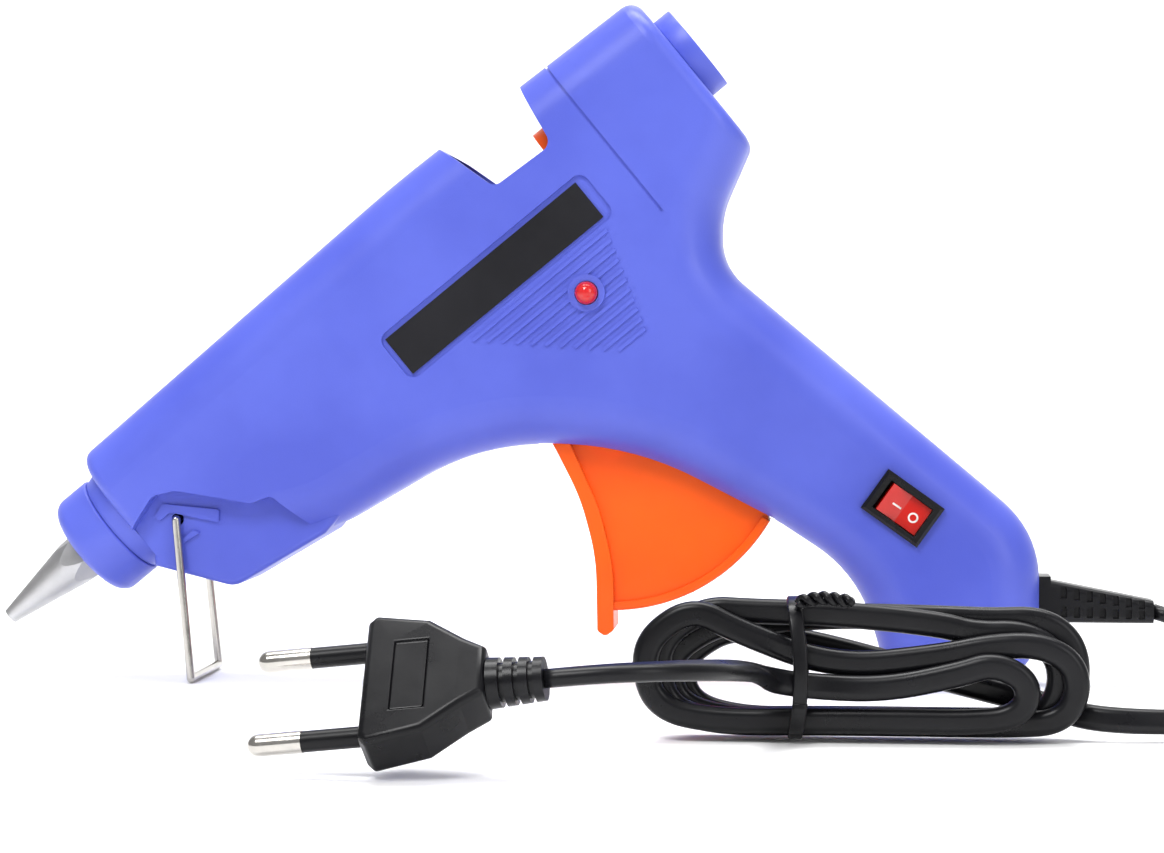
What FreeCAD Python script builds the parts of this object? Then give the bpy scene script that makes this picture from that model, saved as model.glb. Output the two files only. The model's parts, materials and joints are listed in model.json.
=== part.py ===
import FreeCAD, Part
import math
import os

V = FreeCAD.Vector
ROT = FreeCAD.Rotation
PLC = FreeCAD.Placement

# Hot glue gun for 11 mm sticks, standing on its wire stand and handle base.
# Row frame: origin at the middle of the handle base, +X to the rear, +Z up, parting plane y = 0.
# Barrel frame: u runs from the nozzle tip to the rear along the barrel, v is square to it, upwards.

SIZES = {
    "tilt_deg": 39.24,
    "tip_px": -214.7,
    "tip_pz": 13.2,
    "half_wide": 16.5,
    "edge_round": 11.0,
    "wall": 2.2,
    "front_u": 38.0,
    "rear_u": 199.5,
    "nozzle_len": 24.0,
    "nozzle_tip_d": 3.6,
    "nozzle_base_d": 12.4,
    "nozzle_bore_d": 2.0,
    "chamber_d": 17.0,
    "sleeve_d": 15.0,
    "cap_d": 21.0,
    "pivot_px": -75.6,
    "pivot_pz": 57.0,
    "pin_d": 3.0,
    "wire_d": 1.9,
    "hinge_px": -172.9,
    "hinge_pz": 36.4,
    "leg_half": 13.9,
    "bezel_len": 15.0,
    "bezel_wide": 10.4,
    "led_d": 5.0,
    "screw_head_d": 5.4,
    "screw_d": 2.9,
    "cord_round": 4.4,
    "plug_pin_d": 4.0,
    "plug_pin_gap": 18.6,
}

os.makedirs("parts", exist_ok=True)
doc = FreeCAD.newDocument("glue_gun")
sheet = doc.addObject("Spreadsheet::Sheet", "Sizes")
for row, (key, number) in enumerate(SIZES.items(), start=1):
    sheet.set("A%d" % row, key)
    sheet.set("B%d" % row, str(number))
    sheet.setAlias("B%d" % row, key)
doc.recompute()


def size(key):
    return float(sheet.get(key))


TILT = size("tilt_deg")
CA = math.cos(math.radians(TILT))
SA = math.sin(math.radians(TILT))
TIP = V(size("tip_px"), 0, size("tip_pz"))
BARREL = PLC(TIP, ROT(V(0, 1, 0), -TILT))
ALONG_X = ROT(V(0, 1, 0), 90)
ALONG_Y = ROT(V(1, 0, 0), -90)
W = size("half_wide")
nodes = {}


def row_xz(u, v):
    """Barrel coordinates to row X and Z."""
    return (TIP.x + u * CA - v * SA, TIP.z + u * SA + v * CA)


def barrel_uv(x, z):
    """Row X and Z to barrel coordinates."""
    dx = x - TIP.x
    dz = z - TIP.z
    return (dx * CA + dz * SA, -dx * SA + dz * CA)


def bind(item, **sizes):
    """Tie the item's dimensions to the spreadsheet."""
    for prop, words in sizes.items():
        item.setExpression(prop, words)


def in_barrel(u, y, v, turn=None):
    """Placement at (u, y, v) of the barrel frame."""
    return BARREL.multiply(PLC(V(u, y, v), turn or ROT()))


def rod_u(name, radius, length, u, y=0, v=0):
    """Round bar along the barrel axis."""
    item = doc.addObject("Part::Cylinder", name)
    bind(item, Radius=radius, Height=length)
    item.Placement = in_barrel(u, y, v, ALONG_X)
    return item


def cone_u(name, r_front, r_rear, length, u, y=0, v=0):
    """Cone along the barrel axis."""
    item = doc.addObject("Part::Cone", name)
    bind(item, Radius1=r_front, Radius2=r_rear, Height=length)
    item.Placement = in_barrel(u, y, v, ALONG_X)
    return item


def rod_y(name, radius, length, x, y, z):
    """Round bar along Y, from y upwards."""
    item = doc.addObject("Part::Cylinder", name)
    bind(item, Radius=radius, Height=length)
    item.Placement = PLC(V(x, y, z), ALONG_Y)
    return item


def block(name, lx, ly, lz, place):
    """Box with its corner at the placement."""
    item = doc.addObject("Part::Box", name)
    bind(item, Length=lx, Width=ly, Height=lz)
    item.Placement = place
    return item


def block_u(name, lu, ly, lv, u, y, v):
    """Box in the barrel frame with its low corner at (u, y, v)."""
    return block(name, lu, ly, lv, in_barrel(u, y, v))


def fuse(name, items):
    item = doc.addObject("Part::MultiFuse", name)
    item.Shapes = items
    return item


def cut(name, base, tools):
    """Base minus the tools, which are fused first."""
    tool = tools[0]
    if len(tools) > 1:
        tool = fuse(name + "_tools", tools)
    item = doc.addObject("Part::Cut", name)
    item.Base = base
    item.Tool = tool
    return item


def feature(name, shape):
    item = doc.addObject("Part::Feature", name)
    item.Shape = shape
    return item


def node(name, item):
    """Record a finished sub-part."""
    item.Label = name
    nodes[name] = item


# ---------------------------------------------------------------- outlines

def rounded(corners):
    """Closed wire in the plane y = 0 through corners (x, z, radius), each corner rounded by its radius."""
    edges = []
    count = len(corners)
    last = None
    first = None
    for i in range(count):
        a = V(corners[i - 1][0], 0, corners[i - 1][1])
        b = V(corners[i][0], 0, corners[i][1])
        after = corners[(i + 1) % count]
        c = V(after[0], 0, after[1])
        radius = corners[i][2]
        ab = (a - b).normalize()
        cb = (c - b).normalize()
        half = 0.5 * ab.getAngle(cb)
        start = b
        end = b
        arc = None
        if radius > 0:
            run = radius / math.tan(half)
            start = b + ab * run
            end = b + cb * run
            mid_dir = (ab + cb).normalize()
            middle = b + mid_dir * (radius / math.sin(half) - radius)
            arc = Part.Arc(start, middle, end).toShape()
        if last is not None and (start - last).Length > 1e-6:
            edges.append(Part.LineSegment(last, start).toShape())
        if first is None:
            first = start
        if arc:
            edges.append(arc)
        last = end
    if (first - last).Length > 1e-6:
        edges.append(Part.LineSegment(last, first).toShape())
    return Part.Wire(edges)


def plate(wire, y_low, y_high):
    """Solid of a closed outline between two y levels."""
    face = Part.Face(wire)
    face.translate(V(0, y_low, 0))
    return face.extrude(V(0, y_high - y_low, 0))


def uv_corners(corners):
    out = []
    for u, v, radius in corners:
        x, z = row_xz(u, v)
        out.append((x, z, radius))
    return out


# Housing outline: barrel top, head, waist, handle back, handle base, finger space, belly, barrel front.
HOUSING = uv_corners([(6, 15.8, 0), (134, 19.1, 300), (226, 15.9, 0)]) + [
    (-33.0, 147.0, 0),
    (-51.3, 105.0, 20),
    (-51.3, 93.1, 13),
    (19.1, 34.2, 22),
    (19.1, 0.0, 13),
    (-13.8, 0.0, 3),
    (-20.6, 24.6, 30),
    (-39.0, 36.6, 40),
    (-70.0, 52.6, 68),
    (-104.5, 54.0, 58),
    (-138.2, 34.4, 30),
] + uv_corners([(38, -15.0, 14), (6, -15.0, 0)])

# The narrow foot under the barrel front, which carries the wire stand.
FOOT = [
    (-178.3, 25.9, 0.6),
    (-160.0, 21.3, 5),
    (-139.5, 33.4, 2),
    (-134.0, 40.0, 0),
    (-150.0, 50.0, 0),
    (-178.6, 40.0, 0),
]

# Side recess above the foot, one on each side.
RECESS = [
    (-200.0, 10.0, 0),
    (-128.0, 23.6, 0),
    (-150.9, 42.0, 1.5),
    (-155.3, 40.3, 2),
    (-172.6, 43.1, 5),
    (-177.8, 41.8, 3),
    (-182.4, 34.5, 0),
]

# Notch that shows the stick, in barrel coordinates.
NOTCH = [(140.6, 30, 0), (146.6, 14, 3), (149.6, 3.2, 2.5), (165.4, 2.4, 2.5), (167.6, 17.5, 0.8),
         (169, 30, 0)]


def is_side_edge(edge, half):
    """An outline edge on a side face, apart from the three cut-off ends."""
    box = edge.BoundBox
    flat = abs(box.YMax - box.YMin) < 1e-4
    if not flat or abs(abs(box.YMax) - half) > 1e-3:
        return False
    mid = edge.CenterOfMass
    u, v = barrel_uv(mid.x, mid.z)
    front_end = u < 10.5 and abs(v) < 14
    rear_end = u > 205 and abs(v) < 25 and edge.Length > 20 and abs(v - 15.9) > 3
    return not front_end and not rear_end


def pillow(inset):
    """Housing body with large side rounding, moved inwards by inset."""
    wire = rounded(HOUSING)
    if inset > 0:
        face = Part.Face(wire)
        wire = face.makeOffset2D(-inset, 0, False, False, False).OuterWire
    half = W - inset
    solid = plate(wire, -half, half)
    edges = [e for e in solid.Edges if is_side_edge(e, half)]
    return solid.makeFillet(size("edge_round") - inset, edges)


def slab(u0, u1, v0, v1, half):
    """Box in the barrel frame, as a plain shape."""
    item = Part.makeBox(u1 - u0, 2 * half, v1 - v0)
    item.Placement = in_barrel(u0, -half, v0)
    return item


def trimmed(inset):
    """The pillow cut at the front shoulder and the head's rear face."""
    solid = pillow(inset)
    keep = slab(size("front_u") + inset, size("rear_u") - inset, -260, 60, 40)
    return solid.common(keep)


def edge_rounding(solid, u_face, radius):
    """Round the rim of a plane square to the barrel."""
    picks = []
    for edge in solid.Edges:
        points = [barrel_uv(vertex.Point.x, vertex.Point.z)[0] for vertex in edge.Vertexes]
        if points and all(abs(value - u_face) < 1e-3 for value in points):
            picks.append(edge)
    return solid.makeFillet(radius, picks)


# ---------------------------------------------------------------- housing

PIVOT = (size("pivot_px"), size("pivot_pz"))
HINGE = (size("hinge_px"), size("hinge_pz"))
SWITCH = (-11.2, 40.0)
SWITCH_TURN = -35.5
LED = (-80.4, 87.0)
SCREWS = [(0.0, 11.0), (8.0, 33.0), (-60.5, 96.0), row_xz(190, -17), row_xz(97, -27), row_xz(76, -20)]
RELIEF_Z = 18.6
LABEL_FROM = 109.5
LABEL_LONG = 54.6
LABEL_LOW = -17.2
LABEL_HIGH = 9.8


def pin_y(radius, x, z, y_low, y_high):
    """Plain round bar along Y."""
    return Part.makeCylinder(radius, y_high - y_low, V(x, y_low, z), V(0, 1, 0))


def outer_body():
    """Outside of the housing: pillow, neck behind the collar, foot and the side recesses."""
    solid = edge_rounding(trimmed(0), size("rear_u"), 3.5)
    solid = edge_rounding(solid, size("front_u"), 2.4)
    neck = Part.makeCone(12.1, 13.4, 4.2)
    neck.Placement = in_barrel(33.8, 0, 0, ALONG_X)
    foot = plate(rounded(FOOT), -12.0, 12.0)
    rims = [e for e in foot.Edges if abs(abs(e.CenterOfMass.y) - 12.0) < 1e-3 and e.CenterOfMass.z < 34.5]
    foot = foot.makeFillet(1.2, rims)
    for side in (-1, 1):
        low = 12.0 if side > 0 else -20.0
        solid = solid.cut(plate(rounded(RECESS), low, low + 8.0))
    return solid.fuse([neck, foot]).removeSplitter()


def cavity():
    """Hollow of the housing, narrower beside the foot."""
    solid = trimmed(size("wall"))
    grown = [(x, z + 2.5, 0) for x, z, radius in RECESS]
    for low in (9.8, -18.0):
        solid = solid.cut(plate(rounded(grown), low, low + 8.2))
    return solid


def bosses():
    """Screw posts and the two bosses of the trigger pin, inside the housing."""
    items = [pin_y(3.3, x, z, -15.6, 15.6) for x, z in SCREWS]
    for low in (-15.6, 7.4):
        items.append(pin_y(4.2, PIVOT[0], PIVOT[1], low, low + 8.2))
    for u in (44.0, 59.0):
        ring = slab(u, u + 2.0, -15.0, 16.0, 15.0)
        items.append(ring)
    items.append(slab(178.0, 180.0, -9.6, 15.0, 15.0))
    return items


def openings():
    """Everything cut through or into the walls, apart from the notch."""
    tools = []
    for x, z in SCREWS:
        tools.append(pin_y(1.5, x, z, -9.0, 20.0))
        tools.append(pin_y(3.0, x, z, 13.4, 20.0))
    tools.append(pin_y(size("pin_d") / 2 + 0.02, PIVOT[0], PIVOT[1], -9.65, 9.65))
    tools.append(pin_y(1.4, HINGE[0], HINGE[1], -12.5, -8.6))
    tools.append(pin_y(1.4, HINGE[0], HINGE[1], 8.6, 12.5))
    bore = Part.makeCylinder(9.6, 90.0)
    bore.Placement = in_barrel(30.0, 0, 0, ALONG_X)
    tools.append(bore)
    rear = Part.makeCylinder(8.6, 60.0)
    rear.Placement = in_barrel(160.0, 0, 0, ALONG_X)
    tools.append(rear)
    slot = pin_y(41.7, PIVOT[0], PIVOT[1], -7.8, 7.8)
    window = Part.makeBox(62, 20, 45, V(-92.4, -10, 18))
    tools.append(slot.common(window))
    cutout = Part.makeBox(13.4, 6.0, 9.0)
    cutout.Placement = PLC(V(SWITCH[0], 0, SWITCH[1]), ROT(V(0, 1, 0), -SWITCH_TURN)).multiply(
        PLC(V(-6.7, -19.0, -4.5), ROT()))
    tools.append(cutout)
    tools.append(pin_y(size("led_d") / 2 + 0.15, LED[0], LED[1], -20.0, -10.0))
    exit_hole = Part.makeCylinder(4.3, 14.0, V(10.0, 0, RELIEF_Z), V(1, 0, 0))
    tools.append(exit_hole)
    return tools


def label_recess():
    top = LABEL_LOW + LABEL_HIGH + 1.2
    item = slab(LABEL_FROM - 1.2, LABEL_FROM + LABEL_LONG + 2.6, LABEL_LOW - 1.2, top, 1)
    item.Placement = in_barrel(LABEL_FROM - 1.2, -W - 1.2, LABEL_LOW - 1.2)
    picks = [e for e in item.Edges if abs(e.BoundBox.YLength - 2.0) < 1e-6]
    return item.makeFillet(2.4, picks)


def side_ribs():
    """Thin ribs round the lamp and the detents beside the wire hinge, all on the left side."""
    items = []
    for k in range(11):
        v = -20.4 - 2.2 * k
        start = 124.6 + 2.35 * k
        stop = 163.0 - 0.72 * k
        rib = Part.makeBox(stop - start, 0.75, 0.8)
        rib.Placement = in_barrel(start, -W - 0.45, v)
        items.append(rib)
    items.append(pin_y(4.1, LED[0], LED[1], -W - 0.9, -W + 0.2))
    return items


def detents(side):
    """Hooked rib and wedge beside the wire hinge."""
    y_low = -12.7 if side < 0 else 11.8
    hook = [(-178.0, 36.9, 0.4), (-176.4, 39.9, 1.4), (-163.4, 38.7, 0.5), (-163.4, 35.8, 0.5), (-174.6, 38.0, 1.2),
            (-176.9, 36.1, 0.4)]
    wedge = [(-171.7, 31.0, 0.2), (-167.7, 33.5, 0.2), (-169.2, 34.0, 0.3), (-171.8, 32.0, 0.2)]
    return [plate(rounded(outline), y_low, y_low + 0.9) for outline in (hook, wedge)]


def seam_groove():
    """Fine groove behind the head ring, cut square to the barrel."""
    inner = trimmed(0.45)
    band = slab(174.6, 175.2, -24.4, 25.0, 20.0)
    return band.cut(inner)


def housing():
    outer = outer_body()
    hollow = cavity()
    posts = bosses()
    shell = outer.cut(hollow)
    keep = outer.common(Part.makeCompound(posts))
    shell = shell.fuse(keep)
    shell = shell.cut(openings())
    shell = shell.cut(seam_groove())
    shell = shell.cut(label_recess())
    shell = shell.fuse(side_ribs() + detents(-1) + detents(1))
    shell = shell.cut(pin_y(size("led_d") / 2 + 0.15, LED[0], LED[1], -20.0, -10.0))
    notch = plate(rounded(uv_corners(NOTCH)), -25.0, 25.0)
    shell = shell.cut(notch)
    left = shell.common(Part.makeBox(400, 40, 300, V(-300, -40, -20)))
    right = shell.common(Part.makeBox(400, 40, 300, V(-300, 0, -20)))
    return left, right


def biggest(shape):
    """The main solid, without slivers left by the cuts."""
    solids = sorted(shape.Solids, key=lambda s: s.Volume)
    return solids[-1]


def make_housing():
    left, right = housing()
    print("left solids", [round(s.Volume) for s in left.Solids])
    print("right solids", [round(s.Volume) for s in right.Solids])
    node("housing_left", feature("HousingLeft", biggest(left)))
    node("housing_right", feature("HousingRight", biggest(right)))


# ---------------------------------------------------------------- hot end

def make_nozzle():
    """Cone with six ground flats near its root, a stem behind it and a through bore."""
    cone = cone_u("NozzleCone", "Sizes.nozzle_tip_d/2", "Sizes.nozzle_base_d/2", "Sizes.nozzle_len", 0)
    stem = rod_u("NozzleStem", "4.9", "12", size("nozzle_len"))
    bore = rod_u("NozzleBore", "Sizes.nozzle_bore_d/2", "60", -2)
    feed = rod_u("NozzleFeed", "3.2", "30", 14)
    flats = []
    for k in range(6):
        flat = block("NozzleFlat%d" % k, "12", "20", "5", BARREL.multiply(
            PLC(V(0, 0, 0), ROT(V(1, 0, 0), 60 * k + 15))).multiply(PLC(V(15.5, -10, 5.1), ROT())))
        flats.append(flat)
    body = fuse("NozzleBody", [cone, stem])
    ring = rod_u("NozzleRing", "12", "8.5", 15.5)
    only = doc.addObject("Part::MultiCommon", "NozzleFlatsHere")
    only.Shapes = [fuse("NozzleFlats", flats), ring]
    node("nozzle", cut("Nozzle", body, [only, bore, feed]))


def make_collar():
    """Front collar with a rounded lip, over the neck of both shells."""
    profile = rounded([(23.8, 6.8, 0), (23.8, 12.7, 3.2), (33.7, 12.7, 0.6), (33.7, 9.4, 0), (27.0, 9.4, 0),
                       (27.0, 6.8, 0)])
    solid = Part.Face(profile).revolve(V(0, 0, 0), V(1, 0, 0), 360)
    solid.Placement = BARREL
    item = doc.addObject("Part::Feature", "Collar")
    item.Shape = solid
    node("front_collar", item)


def make_chamber():
    """Melt chamber: bored body with a heater flat, cooling ribs and a spigot for the sleeve."""
    body = rod_u("ChamberBody", "Sizes.chamber_d/2", "59", 29.5)
    spigot = rod_u("ChamberSpigot", "6.9", "8", 88)
    rings = [rod_u("ChamberRing%d" % k, "Sizes.chamber_d/2+0.8", "1.4", 47 + 8 * k) for k in range(2)]
    saddle = block_u("HeaterSaddle", "22", "14", "3.6", 64.5, -7, -10.2)
    bore = rod_u("ChamberBore", "5.9", "60", 42)
    throat = rod_u("ChamberThroat", "3.2", "12", 34)
    front = rod_u("ChamberFront", "4.92", "7", 29.4)
    node("melt_chamber", cut("Chamber", fuse("ChamberSolid", [body, spigot, saddle] + rings), [bore, throat, front]))


def make_heater():
    node("ptc_heater", block_u("PtcHeater", "20", "12", "2.4", 65.5, -6, -12.65))
    plate_item = block_u("ClipPlate", "20", "12", "0.8", 65.5, -6, -13.5)
    arms = []
    for side in (-1, 1):
        y = -9.6 if side < 0 else 9.0
        arms.append(block_u("ClipArm%d" % (side + 1), "8", "0.6", "15", 71.5, y, -13.5))
        foot_y = -9.6 if side < 0 else 5.9
        arms.append(block_u("ClipFoot%d" % (side + 1), "8", "3.7", "0.8", 71.5, foot_y, -13.5))
    node("heater_clip", fuse("HeaterClip", [plate_item] + arms))


def make_sleeve():
    """Soft stick sleeve over the chamber spigot, with its ring clamp."""
    skirt = rod_u("SleeveSkirt", "8.3", "9", 88.7)
    tail = rod_u("SleeveTail", "Sizes.sleeve_d/2", "22", 96)
    wide = rod_u("SleeveWide", "6.95", "8.8", 87.5)
    bore = rod_u("SleeveBore", "5.75", "60", 80)
    node("stick_sleeve", cut("Sleeve", fuse("SleeveSolid", [skirt, tail]), [wide, bore]))
    band = rod_u("ClampBand", "9.2", "2.4", 91)
    hole = rod_u("ClampHole", "8.35", "6", 89)
    node("sleeve_clamp", cut("SleeveClamp", band, [hole]))


def make_inlet():
    """Rear inlet: flanged tube the stick goes into."""
    ring = rod_u("InletRing", "Sizes.cap_d/2", "4.4", size("rear_u") + 0.05)
    tube = rod_u("InletTube", "8.5", "14", size("rear_u") - 13)
    bore = rod_u("InletBore", "5.95", "60", 170)
    mouth = cone_u("InletMouth", "5.95", "7.6", "2.0", size("rear_u") + 2.46)
    node("stick_inlet", cut("Inlet", fuse("InletSolid", [ring, tube]), [bore, mouth]))


# ---------------------------------------------------------------- feed and trigger

PIVOT_U = barrel_uv(PIVOT[0], PIVOT[1])[0]
FORK_U = PIVOT_U + 7.0
FORK_V = -17.7


def make_carriage():
    """Ring round the stick, bar under it and a cross pin for the trigger's fork."""
    ring = rod_u("CarriageRing", "8.4", "10.2", 162.8)
    bar = block_u("CarriageBar", "36", "5.2", "3.2", 137, -2.6, -11.4)
    lug = block_u("CarriageLug", "5.6", "5.2", "11", FORK_U - 2.8, -2.6, FORK_V - 2.4)
    post = block_u("CarriagePost", "3", "5.2", "7", 170, -2.6, -15.4)
    cross = doc.addObject("Part::Cylinder", "CarriagePin")
    bind(cross, Radius="1.5", Height="12.4")
    cross.Placement = in_barrel(FORK_U, -6.2, FORK_V, ALONG_Y)
    bore = rod_u("CarriageBore", "6.1", "20", 160)
    node("feed_carriage", cut("Carriage", fuse("CarriageSolid", [ring, bar, lug, post, cross]), [bore]))


def trigger_web():
    """Sector of the trigger about its pivot, without the finger plate."""
    px, pz = PIVOT
    outline = rounded([(px - 3, pz + 2, 0), (-86.4, 55.4, 0), (-83.0, 47.6, 0), (-78.9, 38.0, 0), (-76.4, 27.0, 0),
                       (-76.0, 16.6, 0), (-66.1, 17.2, 0), (-57.4, 20.3, 0), (-48.8, 26.1, 0),
                       (-42.8, 32.6, 0), (-40.4, 36.4, 2), (-44.0, 45.0, 8), (px + 4, pz + 5, 0)])
    return plate(outline, -5.4, 5.4)


def trigger_plate():
    """Curved finger plate."""
    outline = rounded([(-90.4, 56.2, 0), (-87.9, 51.8, 46), (-82.6, 41.4, 46), (-79.1, 28.3, 46), (-78.8, 11.6, 1),
                       (-77.0, 10.4, 1.2), (-75.1, 11.8, 1), (-75.3, 26.0, 46), (-78.3, 38.7, 46), (-82.6, 48.3, 46),
                       (-86.2, 56.0, 0)])
    return plate(outline, -7.2, 7.2)


def trigger_bead():
    """Raised bead along the sector's round lower edge."""
    px, pz = PIVOT
    outer = pin_y(40.9, px, pz, -6.3, 6.3)
    outer = outer.makeFillet(0.8, [e for e in outer.Edges if abs(e.Length - math.tau * 40.9) < 1e-3])
    inner = pin_y(38.9, px, pz, -7.0, 7.0)
    wedge = plate(rounded([(px, pz, 0), (px, pz - 60, 0), (px + 80, pz - 60, 0), (px + 52, pz - 30.6, 0)]), -8, 8)
    return outer.cut(inner).common(wedge)


def trigger_arm():
    """Hub and forked arm up to the carriage pin."""
    px, pz = PIVOT
    top_x, top_z = row_xz(FORK_U, FORK_V)
    angle = math.degrees(math.atan2(-(top_x - px), top_z - pz))
    reach = math.hypot(top_x - px, top_z - pz)
    parts = [pin_y(5.4, px, pz, -7.2, 7.2)]
    for low in (-5.4, 3.2):
        leg = Part.makeBox(7.6, 2.2, reach + 3.6, V(-3.8, low, 0))
        gap = Part.makeBox(3.9, 4.0, 8.0, V(-1.95, low - 1, reach - 2.7))
        leg = leg.cut(gap)
        leg.Placement = PLC(V(px, 0, pz), ROT(V(0, 1, 0), -angle))
        parts.append(leg)
    return parts


def make_trigger():
    px, pz = PIVOT
    solid = trigger_web().fuse([trigger_plate(), trigger_bead()] + trigger_arm())
    hub_hole = pin_y(size("pin_d") / 2 + 0.06, px, pz, -9, 9)
    solid = solid.cut(hub_hole).removeSplitter()
    node("trigger", feature("Trigger", solid))
    node("trigger_pin", rod_y("TriggerPin", "Sizes.pin_d/2", "19.2", px, -9.6, pz))


def make_spring():
    """Return spring from the carriage post to the head."""
    helix = Part.makeHelix(1.5, 12.0, 1.9)
    profile = Part.Wire([Part.Circle(V(1.9, 0, 0), V(0, 1, 0), 0.35).toShape()])
    coil = Part.Wire(helix).makePipeShell([profile], True, True)
    coil.Placement = in_barrel(174.0, 0, -13.0, ALONG_X)
    node("return_spring", feature("ReturnSpring", coil))


# ---------------------------------------------------------------- stand, switch, lamp, label

def rod_between(name, start, stop, radius):
    """Round bar between two points."""
    item = doc.addObject("Part::Cylinder", name)
    bind(item, Radius=radius)
    item.Height = (stop - start).Length
    item.Placement = PLC(start, ROT(V(0, 0, 1), stop - start))
    return item


def ball(name, centre, radius):
    item = doc.addObject("Part::Sphere", name)
    bind(item, Radius=radius)
    item.Placement = PLC(centre, ROT())
    return item


def make_stand():
    """Wire stand: two legs hinged in the foot and one cross bar on the floor."""
    hx, hz = HINGE
    fx = hx + 3.5
    fz = size("wire_d") / 2
    leg = size("leg_half")
    left_leg = [V(hx, -9.4, hz), V(hx, -leg, hz), V(fx, -leg - 1.0, fz)]
    right_leg = [V(fx, leg + 1.0, fz), V(hx, leg, hz), V(hx, 9.4, hz)]
    run = left_leg + right_leg
    items = []
    for k in range(5):
        items.append(rod_between("StandRod%d" % k, run[k], run[k + 1], "Sizes.wire_d/2"))
    for k in range(1, 5):
        items.append(ball("StandBend%d" % k, run[k], "Sizes.wire_d/2"))
    node("wire_stand", fuse("WireStand", items))


ROCKER_DEEP = 1.2
SWITCH_PLACE = PLC(V(SWITCH[0], -W, SWITCH[1]), ROT(V(0, 1, 0), -SWITCH_TURN))


def switch_block(name, lx, ly, lz, x, y, z):
    return block(name, lx, ly, lz, SWITCH_PLACE.multiply(PLC(V(x, y, z), ROT())))


def make_switch():
    """Rocker switch: bezel, body, two terminals and the rocker."""
    bezel = doc.addObject("Part::Box", "Bezel")
    bind(bezel, Length="Sizes.bezel_len", Width="1.9", Height="Sizes.bezel_wide")
    bezel.Placement = SWITCH_PLACE.multiply(PLC(V(-7.5, -1.9, -5.2), ROT()))
    bezel_round = doc.addObject("Part::Chamfer", "BezelBevel")
    bezel_round.Base = bezel
    front = []
    doc.recompute()
    for index, edge in enumerate(bezel.Shape.Edges, start=1):
        if abs(edge.BoundBox.YMax - (-W - 1.9)) < 1e-4:
            front.append((index, 0.7, 0.7))
    bezel_round.Edges = front
    body = switch_block("SwitchBody", "13", "10", "8.6", -6.5, -0.1, -4.3)
    well = switch_block("SwitchWell", "11.2", "6.6", "7.2", -5.6, -2.2, -3.6)
    axle = doc.addObject("Part::Cylinder", "RockerAxleHole")
    bind(axle, Radius="0.85", Height="8.2")
    axle.Placement = SWITCH_PLACE.multiply(PLC(V(0, ROCKER_DEEP, -4.1), ROT()))
    node("switch_body", cut("Switch", fuse("SwitchSolid", [bezel_round, body]), [well, axle]))
    terminals = []
    for k, x in enumerate((-4.6, 3.8)):
        terminals.append(switch_block("Terminal%d" % k, "0.8", "6", "4.6", x, 9.95, -2.3))
    doc.recompute()
    shape = Part.makeCompound([t.Shape for t in terminals])
    node("switch_terminals", feature("SwitchTerminals", shape))
    corners = [V(-5.0, 3.0, -3.4), V(-5.1, -1.5, -3.4), V(0, -0.1, -3.4), V(5.1, -1.5, -3.4), V(5.0, 3.0, -3.4)]
    face = Part.Face(Part.makePolygon(corners + corners[:1]))
    rocker = face.extrude(V(0, 0, 6.8))
    rocker = rocker.fuse(Part.makeCylinder(0.8, 8.0, V(0, ROCKER_DEEP, -4.0)))
    rocker.rotate(V(0, ROCKER_DEEP, 0), V(0, 0, 1), 9)
    rocker.Placement = SWITCH_PLACE.multiply(rocker.Placement)
    node("switch_rocker", feature("SwitchRocker", rocker))


def make_lamp():
    """Red 5 mm lamp with its flange and leads, and the small board behind it."""
    x, z = LED
    body = rod_y("LampBody", "Sizes.led_d/2", "5.2", x, -W - 1.4, z)
    dome = ball("LampDome", V(x, -W - 1.4, z), "Sizes.led_d/2")
    flange = rod_y("LampFlange", "2.9", "1.0", x, -W + 2.3, z)
    node("lamp", fuse("Lamp", [body, dome, flange]))
    board = block("LampBoard", "9", "1.2", "9", PLC(V(x - 4.5, -W + 3.9, z - 4.5), ROT()))
    part = block("LampResistor", "6", "2", "2", PLC(V(x - 3, -W + 5.0, z - 1), ROT()))
    node("lamp_board", fuse("LampBoardSolid", [board, part]))


def make_label():
    item = block_u("Label", "54.6", "0.5", "9.8", LABEL_FROM, -W + 0.3, LABEL_LOW)
    node("label_plate", item)


def make_screws():
    """Self-tapping housing screws, all put in from the right side."""
    solids = []
    for x, z in SCREWS:
        head = pin_y(size("screw_head_d") / 2, x, z, 13.45, 15.3)
        shank = pin_y(size("screw_d") / 2, x, z, -6.5, 13.5)
        cross = Part.makeBox(3.6, 1.4, 0.8, V(x - 1.8, 14.4, z - 0.4))
        cross_b = Part.makeBox(0.8, 1.4, 3.6, V(x - 0.4, 14.4, z - 1.8))
        solids.append(head.fuse(shank).cut([cross, cross_b]))
    node("housing_screws", feature("HousingScrews", Part.makeCompound(solids)))


# ---------------------------------------------------------------- strain relief, wires, cord and plug

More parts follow.
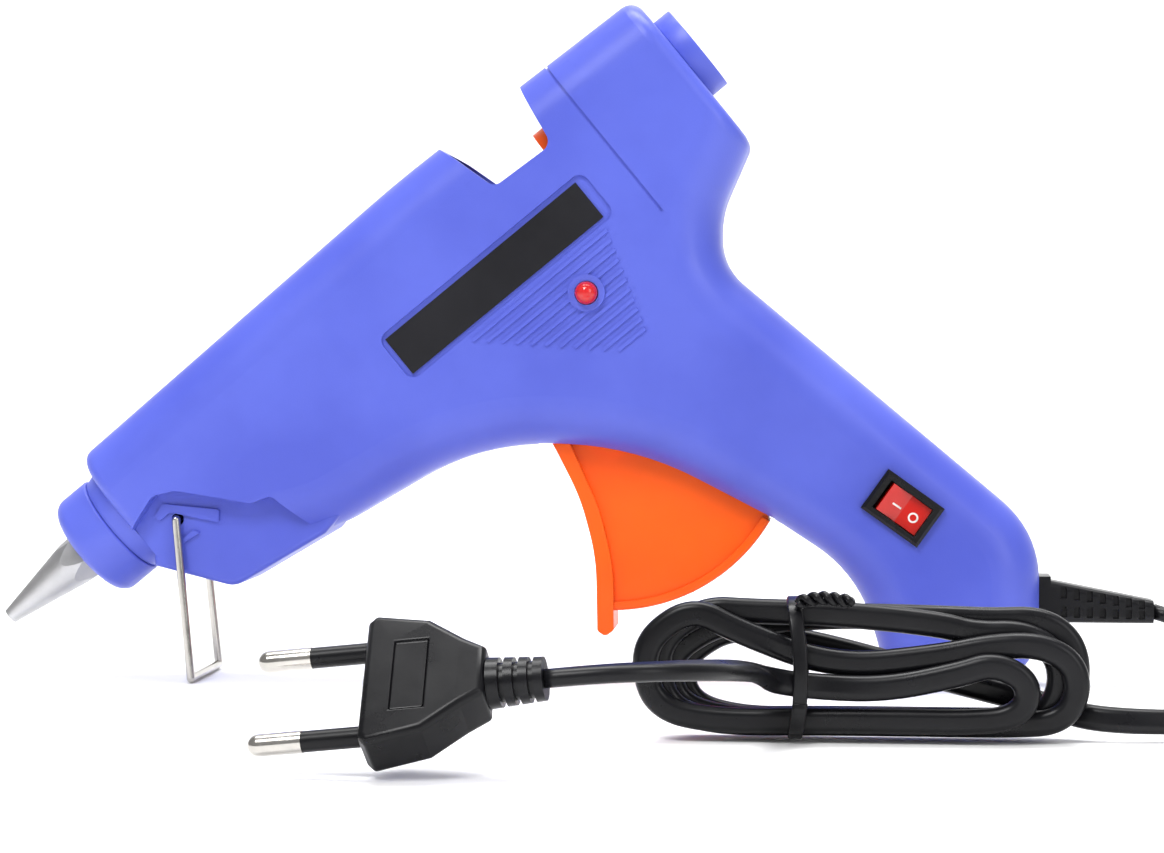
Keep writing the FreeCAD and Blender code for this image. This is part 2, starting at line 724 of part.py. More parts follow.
def make_relief():
    """Ribbed strain relief with a flange against the handle, tilted a little down."""
    flange = block("ReliefFlange", "2.6", "9.4", "11.4", PLC(V(19.15, -4.7, RELIEF_Z - 5.7), ROT()))
    inner = doc.addObject("Part::Cylinder", "ReliefInner")
    bind(inner, Radius="4.2", Height="9")
    inner.Placement = PLC(V(11.0, 0, RELIEF_Z), ALONG_X)
    edge = [(21.7, RELIEF_Z + 4.7), (44.4, 18.9), (44.4, 13.9), (21.7, RELIEF_Z - 4.7)]
    side = plate(rounded([(x, z, 0) for x, z in edge]), -4.2, 4.2)
    picks = [e for e in side.Edges if e.BoundBox.XLength > 20]
    side = side.makeFillet(1.6, picks)
    for k in range(7):
        x = 24.0 + 2.85 * k
        for z in (RELIEF_Z + 2.0 - 0.13 * k * 2.85, RELIEF_Z - 2.2 - 0.02 * k * 2.85):
            for y in (-4.6, 3.2):
                side = side.cut(Part.makeBox(1.3, 1.4, 2.5 - 0.1 * k, V(x, y, z - 1.2)))
    doc.recompute()
    solid = side.fuse([flange.Shape, inner.Shape])
    solid = solid.cut(Part.makeCylinder(1.9, 9.0, V(10.9, 0, RELIEF_Z), V(1, 0, 0)))
    node("strain_relief", feature("StrainRelief", solid))


def wire_run(points, radius):
    """Thin wire through points: bars with balls at the bends."""
    solid = None
    for a, b in zip(points, points[1:]):
        bar = Part.makeCylinder(radius, (b - a).Length, a, b - a)
        solid = bar if solid is None else solid.fuse(bar)
    for p in points[1:-1]:
        solid = solid.fuse(Part.makeSphere(radius, p))
    return solid


def make_wires():
    """Mains wires inside the housing: one by way of the switch, one straight to the heater."""
    hx, hz = row_xz(87.5, -11.4)
    sx, sz = SWITCH
    first = [V(12.0, 0.0, RELIEF_Z), V(6.0, -1.0, 22.0), V(sx + 7.5, -2.0, sz - 10.0), V(sx + 4.2, -0.4, sz - 3.0)]
    node("wire_brown", feature("WireBrown", wire_run(first, 0.8)))
    second = [V(hx, 3.0, hz), V(hx + 8, 11.0, hz - 2.0), V(-95.0, 11.6, 66.0), V(-60.0, 11.6, 74.0),
              V(-30.0, 11.0, 62.0), V(-6.0, 9.5, 36.0), V(3.0, 7.0, 22.0), V(8.5, 3.2, RELIEF_Z)]
    node("wire_blue", feature("WireBlue", wire_run(second, 0.8)))


HANK_FRONT = -104.6
HANK_BACK = -87.6
LEAD = [V(44.45, 0, 16.4), V(58, -2, 12.5), V(76, -12, 5.0), V(84, -34, 2.75), V(80, -60, 2.75), V(66, -84, 3.2),
        V(44, -94, 3.6), V(24, -95, 4.0)]
PLUG = V(-97.5, -149.0, 15.1)
PLUG_TURN = ROT(V(0, 0, 1), -4).multiply(ROT(V(0, 1, 0), -6)).multiply(ROT(V(1, 0, 0), 46))
PLUG_PLACE = PLC(PLUG, PLUG_TURN)
TAIL = [V(-39.9, -104.5, 13.2), V(-40.4, -115.4, 14.8), V(-42.6, -128.0, 16.6), V(-48.0, -139.6, 17.9),
        V(-56.2, -147.6, 18.5), V(-66.2, -151.0, 18.4), PLUG_PLACE.multVec(V(21.6, 0, 0))]


def cord_tube(points, radius):
    """Tube of straight runs joined by tangent arcs."""
    radii = []
    edges = []
    last = points[0]
    for k in range(1, len(points) - 1):
        a = points[k - 1]
        b = points[k]
        c = points[k + 1]
        ab = (a - b).normalize()
        cb = (c - b).normalize()
        half_turn = 0.5 * (math.pi - ab.getAngle(cb))
        run = 0.45 * min((a - b).Length, (c - b).Length)
        bend = run / math.tan(half_turn)
        start = b + ab * run
        end = b + cb * run
        middle = b + (ab + cb).normalize() * (bend / math.cos(half_turn) - bend)
        edges.append(Part.LineSegment(last, start).toShape())
        edges.append(Part.Arc(start, middle, end).toShape())
        radii.append(round(bend, 1))
        last = end
    edges.append(Part.LineSegment(last, points[-1]).toShape())
    path = Part.Wire(edges)
    direction = (points[1] - points[0]).normalize()
    section = Part.Wire([Part.Circle(points[0], direction, radius).toShape()])
    tube = path.makePipeShell([section], True, True)
    print("bend radii", radii, "volume ratio", round(tube.Volume / (math.pi * radius ** 2 * path.Length), 3))
    print("length", round(path.Length, 1))
    return tube


def make_cord():
    node("cord_lead", feature("CordLead", cord_tube(LEAD, size("cord_round") / 2)))
    node("cord_tail", feature("CordTail", cord_tube(TAIL, size("cord_round") / 2)))
    outline = rounded([(-64.5, 0.9, 9), (23.8, 0.6, 11), (23.8, 25.5, 12), (-64.5, 27.4, 12)])
    hank = plate(outline, HANK_FRONT, HANK_BACK)
    rims = [e for e in hank.Edges if e.BoundBox.YLength < 1e-3]
    hank = hank.makeFillet(3.0, rims)
    eye_left = plate(rounded([(-55, 12.5, 2), (-42, 9.6, 1), (-36, 13.0, 1), (-45, 16.5, 2)]), -110, -80)
    hank = hank.cut(eye_left)
    for tube in (nodes["cord_lead"].Shape, nodes["cord_tail"].Shape):
        hank = hank.cut(tube)
    node("cord_hank", feature("CordHank", biggest(hank)))


def make_plug():
    """Flat two-pin plug leaning on the edge of its body, with the cord towards +X of its own frame."""
    place = PLUG_PLACE
    outline = [V(-10.5, -12.6, 0), V(-9, -14.2, 0), V(1, -12.2, 0), V(7.5, -7.4, 0), V(11.5, -5.0, 0),
               V(11.5, 5.0, 0), V(7.5, 7.4, 0), V(1, 12.2, 0), V(-9, 14.2, 0), V(-10.5, 12.6, 0),
               V(-10.5, -12.6, 0)]
    face = Part.Face(Part.makePolygon(outline))
    face.translate(V(0, 0, -4.9))
    body = face.extrude(V(0, 0, 9.8))
    body = body.makeFillet(1.4, [e for e in body.Edges if abs(abs(e.CenterOfMass.z) - 4.9) < 1e-3])
    for low in (-5.5, 4.5):
        body = body.cut(Part.makeBox(6.0, 15.0, 1.0, V(-5.0, -7.5, low)))
    body.Placement = place
    node("plug_body", feature("PlugBody", body))
    pins = []
    sleeves = []
    gap = size("plug_pin_gap") / 2
    radius = size("plug_pin_d") / 2
    for side in (-1, 1):
        metal = Part.makeCylinder(radius, 8.0, V(-21.55, side * gap, 0), V(-1, 0, 0))
        tip = Part.makeSphere(radius, V(-29.55, side * gap, 0), V(1, 0, 0), -90, 90, 360)
        pins.append(metal.fuse(tip))
        sleeves.append(Part.makeCylinder(radius - 0.1, 11.0, V(-10.55, side * gap, 0), V(-1, 0, 0)))
    pins = Part.makeCompound(pins)
    sleeves = Part.makeCompound(sleeves)
    pins.Placement = place
    sleeves.Placement = place
    node("plug_pins", feature("PlugPins", pins))
    node("plug_pin_sleeves", feature("PlugPinSleeves", sleeves))
    relief = Part.makeCone(4.6, 3.9, 10.0, V(11.55, 0, 0), V(1, 0, 0))
    for k in range(3):
        ring = Part.makeCylinder(6.0, 1.0, V(13.7 + 2.6 * k, 0, 0), V(1, 0, 0))
        core = Part.makeCylinder(3.5 - 0.1 * k, 1.0, V(13.7 + 2.6 * k, 0, 0), V(1, 0, 0))
        relief = relief.cut(ring.cut(core))
    relief.Placement = place
    node("plug_relief", feature("PlugRelief", relief))
    print("plug", body.BoundBox, "relief end", TAIL[-1])


def make_tie():
    """Twist tie round the hank, with its two twisted ends."""
    ring = Part.makeBox(3.2, 19.6, 27.7, V(-35.0, -105.9, 0.0))
    hole = Part.makeBox(9.2, 17.2, 26.3, V(-38.0, -104.7, 0.6))
    band = ring.cut(hole)
    ends = Part.makeCylinder(0.9, 10.0, V(-33.4, -101.0, 28.0), V(0.97, -0.1, 0.1))
    node("twist_tie", feature("TwistTie", band.fuse(ends)))


# ---------------------------------------------------------------- build, test and write

make_housing()
make_nozzle()
make_collar()
make_chamber()
make_heater()
make_sleeve()
make_inlet()
make_carriage()
make_trigger()
make_spring()
make_stand()
make_switch()
make_lamp()
make_label()
make_screws()
make_relief()
make_wires()
make_cord()
make_plug()
make_tie()
doc.recompute()

for item in doc.Objects:
    if "Invalid" in item.State or "Error" in item.State:
        raise RuntimeError("%s: %s" % (item.Name, item.State))
for name, item in nodes.items():
    shape = item.Shape
    if shape.isNull() or not shape.isValid() or not shape.Solids:
        raise RuntimeError("bad shape: " + name)
    shape.exportStep("parts/%s.step" % name)
    print(name, round(shape.Volume, 1), len(shape.Solids))
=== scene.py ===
import bpy
import bmesh
import json
import math
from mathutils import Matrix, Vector


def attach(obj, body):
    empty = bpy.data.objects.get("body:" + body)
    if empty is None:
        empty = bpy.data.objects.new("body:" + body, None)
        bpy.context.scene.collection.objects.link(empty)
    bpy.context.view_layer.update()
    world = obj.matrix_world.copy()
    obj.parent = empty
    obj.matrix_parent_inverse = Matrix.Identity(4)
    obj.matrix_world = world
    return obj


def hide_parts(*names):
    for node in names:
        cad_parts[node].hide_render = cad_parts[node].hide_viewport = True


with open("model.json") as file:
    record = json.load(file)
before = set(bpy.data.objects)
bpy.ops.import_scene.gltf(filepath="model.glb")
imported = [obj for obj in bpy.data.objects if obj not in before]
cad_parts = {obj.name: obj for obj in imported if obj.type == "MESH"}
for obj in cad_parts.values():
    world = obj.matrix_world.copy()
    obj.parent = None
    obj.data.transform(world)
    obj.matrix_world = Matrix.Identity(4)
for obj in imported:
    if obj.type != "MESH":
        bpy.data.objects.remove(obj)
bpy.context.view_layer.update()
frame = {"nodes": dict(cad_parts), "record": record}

NODES = frame["nodes"]

# ------------------------------------------------------------------ camera, in metres, row frame

CAMERA_PLACE = (-0.0245, -0.667, 0.077)
CAMERA_TURN = (88.3, 0.0, 5.0)
CAMERA_LENS = 91.8
SENSOR_WIDE = 36.0


def make_camera():
    """Camera at the front left, nearly level."""
    data = bpy.data.cameras.new("camera")
    data.lens = CAMERA_LENS
    data.sensor_width = SENSOR_WIDE
    data.clip_start = 0.01
    data.clip_end = 20.0
    camera = bpy.data.objects.new("camera", data)
    camera.location = CAMERA_PLACE
    camera.rotation_euler = [math.radians(a) for a in CAMERA_TURN]
    bpy.context.scene.collection.objects.link(camera)
    bpy.context.scene.camera = camera


make_camera()


# ------------------------------------------------------------------ cord, tie and hank

CORD_WIDE = 0.005
CORD_THICK = 0.0033
SHEATH = "black_rubber"

# The free stretches of the cord: strain relief to hank, and hank to plug.
LEAD = [
    (0.04445, 0.0, 0.0164), (0.058, -0.002, 0.0125), (0.076, -0.012, 0.005),
    (0.084, -0.034, 0.00275), (0.080, -0.060, 0.00275), (0.066, -0.084, 0.0032),
    (0.044, -0.094, 0.0036), (0.024, -0.095, 0.004),
]
TAIL = [
    (-0.0399, -0.1045, 0.0132), (-0.0404, -0.1154, 0.0148), (-0.0426, -0.1280, 0.0166),
    (-0.0480, -0.1396, 0.0179), (-0.0562, -0.1476, 0.0185), (-0.0662, -0.1510, 0.0184),
    (-0.07607, -0.15050, 0.01736),
]

# Turns of the hank from back to front: left end, right end, heights of the top strand at its right,
# middle and left, height of the bottom strand, and depth.
TURNS = [
    (-0.0550, 0.0205, 0.0060, 0.0170, 0.0205, 0.0034, -0.0898),
    (-0.0572, 0.0170, 0.0228, 0.0236, 0.0215, 0.0036, -0.0931),
    (-0.0592, 0.0200, 0.0205, 0.0243, 0.0247, 0.0034, -0.0964),
    (-0.0616, 0.0105, 0.0185, 0.0142, 0.0250, 0.0042, -0.0997),
]
# The strand that leaves the hank for the plug: its depth, its height at the right fold, and its middle points.
LAST_DEPTH = -0.1026
INNER_TOP = 0.0152
INNER_STRAND = [
    (-0.002, -0.1024, 0.0134), (-0.016, -0.1026, 0.0104), (-0.029, -0.1030, 0.0108), (-0.0375, -0.1058, 0.0122),
]
STRAND_RISE = 0.0022


def hank_turn(turn, before, depth_after, next_top):
    """Control points of one turn: top strand to the left, left bend, bottom strand, right bend."""
    left, right, top_right, top_mid, top_left, bottom, depth = turn
    high = next_top - bottom
    across = [
        (before - 0.016, top_right), (-0.006, 0.5 * (top_right + top_mid)), (-0.026, top_mid),
        (left + 0.017, 0.35 * top_mid + 0.65 * top_left), (left + 0.009, top_left + 0.0004),
        (left + 0.0012, top_left - 2 * STRAND_RISE), (left - 0.0008, 0.5 * (top_left + bottom)),
        (left + 0.0018, bottom + STRAND_RISE),
        (left + 0.012, bottom - 0.0003), (-0.030, bottom), (-0.008, bottom), (right - 0.012, bottom),
        (right - 0.0030, bottom + 0.0006), (right + 0.0006, bottom + 0.40 * high),
        (right - 0.0006, bottom + 0.80 * high), (right - 0.0066, bottom + 1.02 * high),
    ]
    points = []
    for k, (x, z) in enumerate(across):
        points.append((x, depth + (depth_after - depth) * k / len(across), z))
    return points


def cord_route():
    """All control points of the cord, from the strain relief to the plug."""
    points = list(LEAD)
    before = LEAD[-1][0] + 0.008
    for k, turn in enumerate(TURNS):
        depth_after = TURNS[k + 1][6] if k + 1 < len(TURNS) else LAST_DEPTH
        next_top = TURNS[k + 1][2] if k + 1 < len(TURNS) else INNER_TOP
        points += hank_turn(turn, before, depth_after, next_top)
        before = turn[1]
    return points + INNER_STRAND + TAIL[1:]


def spline_points(points, resolution=10):
    """Points of the smooth line that follows the control points."""
    curve = bpy.data.curves.new("route", "CURVE")
    curve.dimensions = "3D"
    spline = curve.splines.new("NURBS")
    spline.points.add(len(points) - 1)
    for point, place in zip(spline.points, points):
        point.co = (*place, 1.0)
    spline.order_u = 3
    spline.use_endpoint_u = True
    spline.resolution_u = resolution
    item = bpy.data.objects.new("route", curve)
    mesh = bpy.data.meshes.new_from_object(item)
    line = [vertex.co.copy() for vertex in mesh.vertices]
    bpy.data.objects.remove(item)
    bpy.data.meshes.remove(mesh)
    return line


def flat_section(wide, thick, steps=6):
    """Outline of a flat twin cord: two half rounds joined by straight sides, with a shallow waist."""
    half = 0.5 * thick
    out = []
    for side in (1, -1):
        for k in range(steps + 1):
            angle = math.pi * (k / steps - 0.5)
            across = 0.5 * wide - half + half * math.cos(angle)
            out.append((side * across, side * half * math.sin(angle)))
        out.append((0.0, side * half * 0.9))
    return out


def round_section(radius, steps=10):
    """Outline of a round strand."""
    angles = [math.tau * k / steps for k in range(steps)]
    return [(radius * math.cos(angle), radius * math.sin(angle)) for angle in angles]


def sweep(name, line, section, facing):
    """Mesh of a section carried along a line; facing(k) is the way that its thin side looks."""
    mesh = bmesh.new()
    rings = []
    for k, place in enumerate(line):
        tangent = (line[min(k + 1, len(line) - 1)] - line[max(k - 1, 0)]).normalized()
        thin = facing(k)
        thin = (thin - tangent * thin.dot(tangent)).normalized()
        side = tangent.cross(thin)
        rings.append([mesh.verts.new(place + side * a + thin * b) for a, b in section])
    count = len(section)
    for low, high in zip(rings, rings[1:]):
        for k in range(count):
            mesh.faces.new((low[k], low[(k + 1) % count], high[(k + 1) % count], high[k]))
    mesh.faces.new(rings[0][::-1])
    mesh.faces.new(rings[-1])
    return as_object(name, mesh)


def as_object(name, mesh):
    """Object from a bmesh, smooth and with its normals outward."""
    bmesh.ops.recalc_face_normals(mesh, faces=mesh.faces)
    data = bpy.data.meshes.new(name)
    mesh.to_mesh(data)
    mesh.free()
    for face in data.polygons:
        face.use_smooth = True
    item = bpy.data.objects.new(name, data)
    bpy.context.scene.collection.objects.link(item)
    return item


def line_length(line):
    """Length along a line of points."""
    return sum((b - a).length for a, b in zip(line, line[1:]))


def make_cord():
    """The mains cord: lead, hank and tail in one piece."""
    line = spline_points(cord_route())
    total = line_length(line)
    travelled = [0.0]
    for a, b in zip(line, line[1:]):
        travelled.append(travelled[-1] + (b - a).length)

    def facing(k):
        into = min(max((travelled[k] - 0.10) / 0.06, 0.0), 1.0)
        out = min(max((total - travelled[k] - 0.02) / 0.07, 0.0), 1.0)
        amount = min(into, out)
        up = Vector((0.25, 0.0, 1.0)) if out < 1.0 else Vector((0.0, 0.0, 1.0))
        return up * (1.0 - amount) + Vector((0.0, -1.0, 0.0)) * amount

    cord = sweep("mains_cord", line, flat_section(CORD_WIDE, CORD_THICK), facing)
    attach(cord, "housing")
    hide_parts("cord_lead", "cord_hank", "cord_tail")
    plug = [NODES[name] for name in ("plug_body", "plug_pins", "plug_pin_sleeves", "plug_relief")]
    return cord, line, total, plug


def make_tie():
    """Twist tie pulled tight round the hank, with its two ends twisted together."""
    x = -0.0334
    corners = [
        (-0.1040, 0.0010), (-0.0960, 0.0008), (-0.0880, 0.0014), (-0.0868, 0.0080), (-0.0872, 0.0180),
        (-0.0882, 0.0262), (-0.0950, 0.0272), (-0.1030, 0.0262), (-0.1062, 0.0180), (-0.1066, 0.0080),
    ]
    loop = [(x + 0.0016 * math.sin(z * 120.0), y, z) for y, z in corners]
    loop = [loop[-1]] + loop + loop[:2]
    line = spline_points(loop, 6)
    centre = Vector((x, -0.0965, 0.0135))
    band = sweep("tie_band", line, flat_section(0.0028, 0.0009), lambda k: line[k] - centre)
    ends = []
    for phase in (0.0, math.pi):
        points = []
        for k in range(40):
            t = k / 39
            angle = phase + math.tau * 2.6 * t
            height = 0.0268 + 0.0008 * t + 0.0006 * math.sin(4 * t)
            axis = Vector((x + 0.0006 + 0.0105 * t, -0.1032 - 0.0010 * t, height))
            points.append(axis + Vector((0.0, math.cos(angle), math.sin(angle))) * 0.00075)
        end = sweep("tie_end", points, round_section(0.00072, 8), lambda k: Vector((0.0, 0.3, 1.0)))
        ends.append(end)
    for item in [band] + ends:
        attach(item, "housing")
    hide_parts("twist_tie")
    return [band] + ends


CORD, CORD_LINE, CORD_LENGTH, PLUG_NODES = make_cord()
TIE = make_tie()


# ------------------------------------------------------------------ material tools

def shader(name, **settings):
    """New material; returns it with its node tree and its Principled shader."""
    mat = bpy.data.materials.new(name)
    mat.use_nodes = True
    principled = mat.node_tree.nodes["Principled BSDF"]
    for key, number in settings.items():
        principled.inputs[key.replace("_", " ")].default_value = number
    return mat, mat.node_tree, principled


def add_noise(tree, scale, detail=3.0, rough=0.5):
    """Object-space noise."""
    coords = tree.nodes.new("ShaderNodeTexCoord")
    noise = tree.nodes.new("ShaderNodeTexNoise")
    noise.inputs["Scale"].default_value = scale
    noise.inputs["Detail"].default_value = detail
    noise.inputs["Roughness"].default_value = rough
    tree.links.new(coords.outputs["Object"], noise.inputs["Vector"])
    return noise


def ramp(tree, source, stops):
    """Colour ramp from (place, colour) stops."""
    node = tree.nodes.new("ShaderNodeValToRGB")
    while len(node.color_ramp.elements) < len(stops):
        node.color_ramp.elements.new(0.5)
    for element, (place, colour) in zip(node.color_ramp.elements, stops):
        element.position = place
        element.color = (*colour, 1.0)
    tree.links.new(source, node.inputs["Fac"])
    return node


def spread(tree, source, low, high):
    """A 0-1 value mapped to low-high."""
    node = tree.nodes.new("ShaderNodeMapRange")
    node.inputs["From Min"].default_value = 0.3
    node.inputs["From Max"].default_value = 0.7
    node.inputs["To Min"].default_value = low
    node.inputs["To Max"].default_value = high
    tree.links.new(source, node.inputs["Value"])
    return node.outputs["Result"]


def bump(tree, principled, height, strength, distance):
    """Surface relief from a height value."""
    node = tree.nodes.new("ShaderNodeBump")
    node.inputs["Strength"].default_value = strength
    node.inputs["Distance"].default_value = distance
    tree.links.new(height, node.inputs["Height"])
    tree.links.new(node.outputs["Normal"], principled.inputs["Normal"])


def moulded(name, dark, light, rough_low, rough_high, grain, grain_strength, specular):
    """Moulded plastic: soft colour drift, fine grain and uneven gloss."""
    mat, tree, principled = shader(name, Specular_IOR_Level=specular)
    drift = add_noise(tree, 28.0, 4.0)
    colour = ramp(tree, drift.outputs["Fac"], [(0.35, dark), (0.65, light)])
    tree.links.new(colour.outputs["Color"], principled.inputs["Base Color"])
    patches = add_noise(tree, 90.0, 5.0, 0.6)
    rough = spread(tree, patches.outputs["Fac"], rough_low, rough_high)
    tree.links.new(rough, principled.inputs["Roughness"])
    fine = add_noise(tree, grain, 2.0)
    bump(tree, principled, fine.outputs["Fac"], grain_strength, 0.00006)
    return mat


def metal(name, dark, light, rough_low, rough_high, streaks, strength):
    """Metal with fine tool marks and uneven polish."""
    mat, tree, principled = shader(name, Metallic=1.0)
    drift = add_noise(tree, 160.0, 5.0, 0.6)
    colour = ramp(tree, drift.outputs["Fac"], [(0.3, dark), (0.7, light)])
    tree.links.new(colour.outputs["Color"], principled.inputs["Base Color"])
    rough = spread(tree, drift.outputs["Fac"], rough_low, rough_high)
    tree.links.new(rough, principled.inputs["Roughness"])
    marks = add_noise(tree, streaks, 4.0)
    bump(tree, principled, marks.outputs["Fac"], strength, 0.00005)
    return mat


BLUE_DARK = (0.060, 0.082, 0.46)
BLUE_LIGHT = (0.080, 0.108, 0.53)
ORANGE_DARK = (0.82, 0.080, 0.001)
ORANGE_LIGHT = (0.90, 0.105, 0.002)
BLACK = (0.0035, 0.0035, 0.0045)
SOOT = (0.0065, 0.0065, 0.008)


# Plastics: material name, dark and light colour, least and most roughness, grain scale, grain depth and
# specular level.
PLASTICS = {
    "shell_blue": ("blue_plastic", BLUE_DARK, BLUE_LIGHT, 0.34, 0.44, 2600.0, 0.25, 0.4),
    "trigger_orange": ("orange_plastic", ORANGE_DARK, ORANGE_LIGHT, 0.30, 0.42, 1200.0, 0.10, 0.3),
    "ceramic_white": ("ceramic", (0.74, 0.72, 0.66), (0.84, 0.82, 0.76), 0.5, 0.7, 2600.0, 0.25, 0.5),
    "silicone": ("silicone", (0.62, 0.58, 0.50), (0.72, 0.69, 0.60), 0.4, 0.55, 2600.0, 0.25, 0.5),
    "switch_black": ("switch_black", BLACK, SOOT, 0.24, 0.36, 1800.0, 0.12, 0.25),
    "rocker_red": ("rocker_red", (0.50, 0.006, 0.002), (0.62, 0.011, 0.004), 0.2, 0.3, 1500.0, 0.1, 0.5),
    "lamp_red": ("lamp_red", (0.42, 0.01, 0.012), (0.56, 0.016, 0.018), 0.06, 0.12, 800.0, 0.03, 0.5),
    "board_green": ("board_green", (0.04, 0.16, 0.07), (0.06, 0.22, 0.10), 0.35, 0.5, 2600.0, 0.25, 0.5),
    "label_black": ("label_film", (0.008, 0.008, 0.010), (0.014, 0.014, 0.017), 0.34, 0.46, 2600.0, 0.25, 0.15),
    SHEATH: ("black_pvc", BLACK, SOOT, 0.24, 0.38, 1400.0, 0.14, 0.2),
    "wire_brown": ("brown_pvc", (0.10, 0.035, 0.012), (0.14, 0.05, 0.018), 0.35, 0.5, 2600.0, 0.25, 0.5),
    "wire_blue": ("blue_pvc", (0.01, 0.05, 0.30), (0.015, 0.07, 0.38), 0.35, 0.5, 2600.0, 0.25, 0.5),
}

# Metals: material name, dark and light colour, least and most roughness, scale and depth of the tool marks.
METALS = {
    "bare_aluminium": ("bare_aluminium", (0.40, 0.40, 0.41), (0.50, 0.50, 0.51), 0.36, 0.50, 900.0, 0.12),
    "cast_aluminium": ("cast_aluminium", (0.50, 0.50, 0.52), (0.66, 0.66, 0.67), 0.4, 0.6, 600.0, 0.5),
    "nickel_wire": ("nickel_plate", (0.40, 0.385, 0.36), (0.54, 0.52, 0.49), 0.12, 0.24, 900.0, 0.12),
    "spring_steel": ("zinc_steel", (0.48, 0.49, 0.50), (0.64, 0.65, 0.66), 0.25, 0.42, 900.0, 0.12),
    "brass_tab": ("brass", (0.62, 0.44, 0.16), (0.78, 0.58, 0.26), 0.22, 0.4, 900.0, 0.12),
}


def make_materials():
    """One material for each material slot of the record."""
    mats = {slot: moulded(*look) for slot, look in PLASTICS.items()}
    mats.update({slot: metal(*look) for slot, look in METALS.items()})
    return mats


MATS = make_materials()

# Width of the rounding on moulded edges.
SOFT_EDGES = {"trigger": 0.0006, "plug_body": 0.0004, "stick_inlet": 0.0003, "front_collar": 0.0003,
              "label_plate": 0.0001, "feed_carriage": 0.0003, "strain_relief": 0.0002}


def dress_nodes():
    """Give every CAD node its material, and the moulded edges of the nodes in SOFT_EDGES a small rounding."""
    slots = {entry["node"]: entry["material_slot"] for entry in frame["record"]["subparts"]}
    for name, item in NODES.items():
        item.data.materials.clear()
        item.data.materials.append(MATS[slots[name]])
    for name, width in SOFT_EDGES.items():
        weld = NODES[name].modifiers.new("weld", "WELD")
        weld.merge_threshold = 0.000005
        bevel = NODES[name].modifiers.new("soft_edge", "BEVEL")
        bevel.width = width
        bevel.segments = 3
        bevel.limit_method = "ANGLE"
        bevel.angle_limit = math.radians(38.0)


dress_nodes()
for black_piece in [CORD] + TIE:
    black_piece.data.materials.append(MATS[SHEATH])


# ------------------------------------------------------------------ marks on the rocker

SWITCH_AT = Vector((-0.0112, -0.0165, 0.0400))
SWITCH_TURN = math.radians(35.5)
SWITCH_LONG = Vector((math.cos(SWITCH_TURN), 0.0, -math.sin(SWITCH_TURN)))
SWITCH_SHORT = Vector((math.sin(SWITCH_TURN), 0.0, math.cos(SWITCH_TURN)))
ROCKER_LEFT = (-0.00448, -0.00225)
ROCKER_RIDGE = (0.00020, -0.00008)
ROCKER_RIGHT = (0.00530, -0.00065)
MARK_LIFT = 0.00003
MARK_WIDE = 0.00042
MARK_THICK = 0.00010
RING_RADIUS = 0.00095


def on_rocker(start, stop, run, across, lift):
    """Point on the rocker face, run metres from start towards stop, and the face's normal."""
    first = SWITCH_AT + SWITCH_LONG * start[0] + Vector((0.0, start[1], 0.0))
    last = SWITCH_AT + SWITCH_LONG * stop[0] + Vector((0.0, stop[1], 0.0))
    way = (last - first).normalized()
    normal = SWITCH_SHORT.cross(way).normalized()
    if normal.y > 0:
        normal = -normal
    return first + way * run + SWITCH_SHORT * across + normal * lift, normal


def make_marks():
    """White bar and ring printed on the rocker, for on and off."""
    white = moulded("mark_white", (0.78, 0.78, 0.76), (0.86, 0.86, 0.84), 0.4, 0.5, 2600.0, 0.25, 0.5)
    bar = [on_rocker(ROCKER_LEFT, ROCKER_RIDGE, run, -0.0003, MARK_LIFT) for run in (0.0023, 0.0035, 0.0047)]
    ring = []
    for k in range(25):
        angle = math.tau * k / 24
        run = 0.0029 + RING_RADIUS * math.cos(angle)
        across = -0.0004 + RING_RADIUS * math.sin(angle)
        ring.append(on_rocker(ROCKER_RIDGE, ROCKER_RIGHT, run, across, MARK_LIFT))
    for name, mark in (("mark_on", bar), ("mark_off", ring)):
        normal = mark[0][1]
        outline = flat_section(MARK_WIDE, MARK_THICK, 2)
        item = sweep(name, [place for place, _ in mark], outline, lambda k: normal)
        item.data.materials.append(white)
        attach(item, "rocker")


make_marks()


# ------------------------------------------------------------------ floor and light

WORLD_LIGHT = 0.42

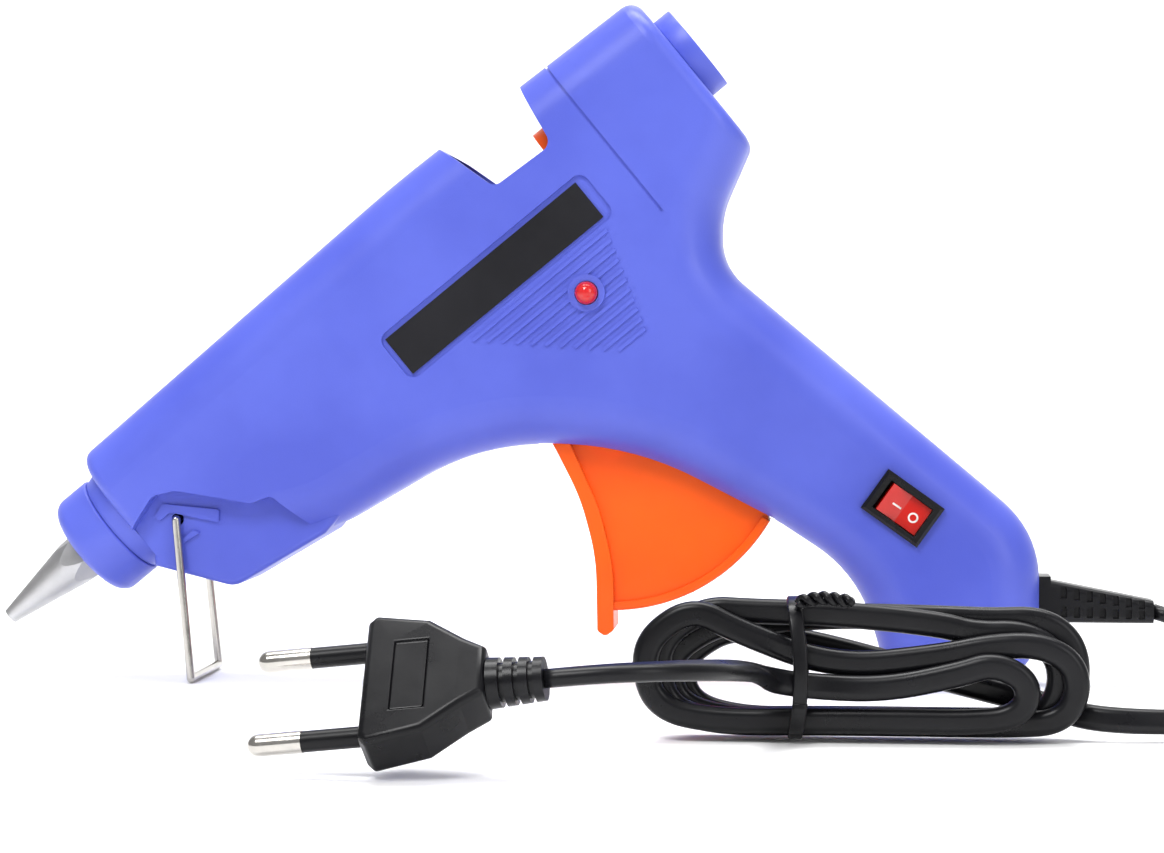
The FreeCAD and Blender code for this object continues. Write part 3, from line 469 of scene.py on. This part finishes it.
# Lights: name, place, where it points, width and height, power.
LIGHTS = [
    ("key", (-0.35, -0.80, 0.95), (-0.08, 0.0, 0.07), (0.45, 0.45), 10.5),
    ("fill", (0.85, -0.9, 0.55), (-0.05, 0.0, 0.07), (0.5, 0.8), 4.5),
    ("top", (-0.1, 0.1, 1.2), (-0.1, 0.0, 0.05), (0.9, 0.6), 9.5),
    ("wall", (0.0, 0.6, 2.4), (0.0, 1.9, 0.4), (2.5, 1.0), 60.0),
]


def make_stage():
    """White floor that curves up into a white wall."""
    profile = [(-2.0, 0.0), (1.2, 0.0)]
    for k in range(1, 13):
        angle = 0.5 * math.pi * k / 12
        profile.append((1.2 + 0.9 * math.sin(angle), 0.9 * (1.0 - math.cos(angle))))
    profile.append((2.1, 4.5))
    reach = 6.0
    mesh = bmesh.new()
    rows = [[mesh.verts.new((x, y, z)) for x in (-reach, reach)] for y, z in profile]
    for low, high in zip(rows, rows[1:]):
        mesh.faces.new((low[0], low[1], high[1], high[0]))
    floor = as_object("floor", mesh)
    floor.location.z = -0.0002
    mat, tree, principled = shader("floor_white", Roughness=0.6)
    noise = add_noise(tree, 3.0, 2.0)
    colour = ramp(tree, noise.outputs["Fac"], [(0.3, (0.90, 0.90, 0.905)), (0.7, (0.93, 0.93, 0.93))])
    tree.links.new(colour.outputs["Color"], principled.inputs["Base Color"])
    floor.data.materials.append(mat)
    world = bpy.data.worlds.new("soft_white")
    bpy.context.scene.world = world
    world.use_nodes = True
    sky = world.node_tree.nodes["Background"]
    sky.inputs["Color"].default_value = (1.0, 1.0, 1.0, 1.0)
    sky.inputs["Strength"].default_value = WORLD_LIGHT
    bpy.context.scene.view_settings.view_transform = "Standard"


def area_light(name, place, aim, wide, power):
    """Soft rectangular light that points at a place."""
    data = bpy.data.lights.new(name, "AREA")
    data.shape = "RECTANGLE"
    data.size = wide[0]
    data.size_y = wide[1]
    data.energy = power
    light = bpy.data.objects.new(name, data)
    light.location = place
    light.rotation_euler = (Vector(aim) - Vector(place)).to_track_quat("-Z", "Y").to_euler()
    bpy.context.scene.collection.objects.link(light)


make_stage()
for light_data in LIGHTS:
    area_light(*light_data)
